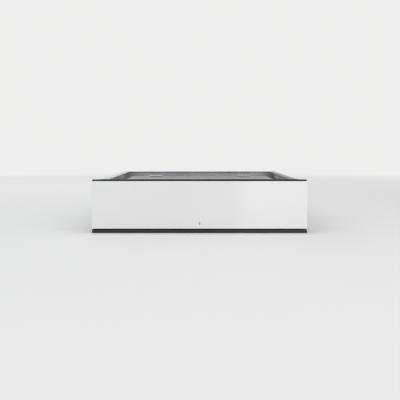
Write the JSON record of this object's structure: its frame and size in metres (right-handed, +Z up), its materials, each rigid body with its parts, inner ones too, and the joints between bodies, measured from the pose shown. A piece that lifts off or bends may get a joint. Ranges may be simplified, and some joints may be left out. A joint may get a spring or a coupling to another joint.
{
  "type": "vacuum sealing drawer",
  "caption": "Built-in vacuum sealing drawer with a white glass front on ball runners, holding a vacuum chamber with hinged glass lid, lifting seal bar, pump and electronics.",
  "frame": {"origin": "middle of the footprint, on the surface that the housing's pads stand on", "axes": "+X to the right seen from the front, +Y from the glass front to the rear, +Z up"},
  "size_m": [0.597, 0.5668, 0.148],
  "materials": {
    "black_rubber": "matt moulded rubber",
    "zinc_sheet": "zinc-coated steel sheet",
    "anthracite_paint": "fine-textured dark powder coat",
    "clear_silicone": "translucent silicone",
    "runner_steel": "bright zinc-plated steel",
    "white_plastic": "moulded acetal",
    "screw_steel": "bright steel",
    "grey_plastic": "moulded acetal",
    "white_glass": "polished glass, back-painted white",
    "stainless": "brushed stainless steel",
    "grey_silicone": "grey silicone",
    "black_glass": "polished glass, back-printed black",
    "black_plastic": "moulded plastic",
    "board_green": "lacquered circuit board with parts",
    "copper_winding": "enamelled copper wire under tape",
    "cast_aluminium": "cast aluminium",
    "hose_silicone": "translucent silicone",
    "wire_pvc": "insulated leads",
    "shaft_steel": "turned steel",
    "carbon_vane": "pressed carbon",
    "tinted_glass": "toughened tinted glass",
    "bar_aluminium": "satin aluminium",
    "heater_tape": "heating wire under woven non-stick tape",
    "pin_brass": "turned brass"
  },
  "bodies": {
    "housing": {"base_pads": "black_rubber", "base_pan": "zinc_sheet", "side_wall_left": "zinc_sheet", "side_wall_right": "zinc_sheet", "rear_wall": "zinc_sheet", "front_frame": "anthracite_paint", "bottom_trim": "anthracite_paint", "front_buffers": "clear_silicone", "runner_outer_left": "runner_steel", "runner_outer_right": "runner_steel", "latch_body": "white_plastic", "housing_fasteners": "screw_steel"},
    "latch_plunger": {"latch_plunger": "grey_plastic"},
    "runner_middles": {"runner_middle_left": "runner_steel", "runner_middle_right": "runner_steel"},
    "outer_cages": {"ball_cages_outer": "screw_steel"},
    "inner_cages": {"ball_cages_inner": "screw_steel"},
    "drawer": {"front_glass": "white_glass", "front_carrier": "anthracite_paint", "drawer_chassis": "zinc_sheet", "cross_rail": "zinc_sheet", "runner_inner_left": "runner_steel", "runner_inner_right": "runner_steel", "deck_plate": "stainless", "service_cover": "stainless", "vacuum_chamber": "stainless", "lid_gasket": "grey_silicone", "suction_strainer": "stainless", "pin_bushes": "white_plastic", "lift_cylinders": "grey_plastic", "control_glass": "black_glass", "control_tray": "black_plastic", "control_board": "board_green", "seal_transformer": "copper_winding", "power_board": "board_green", "valve_block": "cast_aluminium", "valve_coils": "black_plastic", "pump_cradle": "zinc_sheet", "pump_mounts": "black_rubber", "motor_shell": "cast_aluminium", "pump_housing": "cast_aluminium", "fan_frame": "black_plastic", "vacuum_hoses": "hose_silicone", "wire_leads": "wire_pvc", "mains_inlet": "black_plastic", "hinge_bases": "screw_steel", "hinge_pins": "screw_steel", "hinge_springs": "runner_steel", "drawer_fasteners": "screw_steel"},
    "lid": {"lid_glass": "tinted_glass", "hinge_arms": "screw_steel", "lid_bolts": "screw_steel", "counter_holder": "black_plastic", "counter_strip": "clear_silicone"},
    "seal_lift": {"seal_bar": "bar_aluminium", "heating_strip": "heater_tape", "lift_pins": "pin_brass"},
    "pump_rotor": {"rotor_shaft": "shaft_steel", "pump_vanes": "carbon_vane"},
    "fan_wheel": {"fan_impeller": "black_plastic"}
  },
  "joints": [
    {"name": "latch_plunger_slide", "type": "slide", "parent": "housing", "child": "latch_plunger", "axis": [0, 1, 0], "range_m": [0, 0.004], "stiffness_N_per_m": 300, "springref_m": -0.006},
    {"name": "drawer_slide", "type": "slide", "parent": "housing", "child": "drawer", "axis": [0, -1, 0], "range_m": [-0.003, 0.43]},
    {"name": "runner_middle_slide", "type": "slide", "parent": "housing", "child": "runner_middles", "axis": [0, -1, 0], "range_m": [-0.0015, 0.215]},
    {"name": "outer_cage_slide", "type": "slide", "parent": "housing", "child": "outer_cages", "axis": [0, -1, 0], "range_m": [-0.00075, 0.1075]},
    {"name": "inner_cage_slide", "type": "slide", "parent": "housing", "child": "inner_cages", "axis": [0, -1, 0], "range_m": [-0.00225, 0.3225]},
    {"name": "lid_hinge", "type": "hinge", "parent": "drawer", "child": "lid", "pos_m": [0, 0.1376, 0.1335], "axis": [-1, 0, 0], "range_deg": [0, 85], "stiffness_Nm_per_rad": 2.2, "springref_deg": 100.27},
    {"name": "seal_lift", "type": "slide", "parent": "drawer", "child": "seal_lift", "axis": [0, 0, 1], "range_m": [0, 0.009]},
    {"name": "pump_spin", "type": "hinge", "parent": "drawer", "child": "pump_rotor", "pos_m": [0, 0.2016, 0.0675], "axis": [1, 0, 0], "continuous": true},
    {"name": "fan_spin", "type": "hinge", "parent": "drawer", "child": "fan_wheel", "pos_m": [0.19, 0.2516, 0.0675], "axis": [0, 1, 0], "continuous": true}
  ],
  "couplings": [
    {"joint": "runner_middle_slide", "follows": "drawer_slide", "ratio": 0.5},
    {"joint": "outer_cage_slide", "follows": "drawer_slide", "ratio": 0.25},
    {"joint": "inner_cage_slide", "follows": "drawer_slide", "ratio": 0.75}
  ]
}
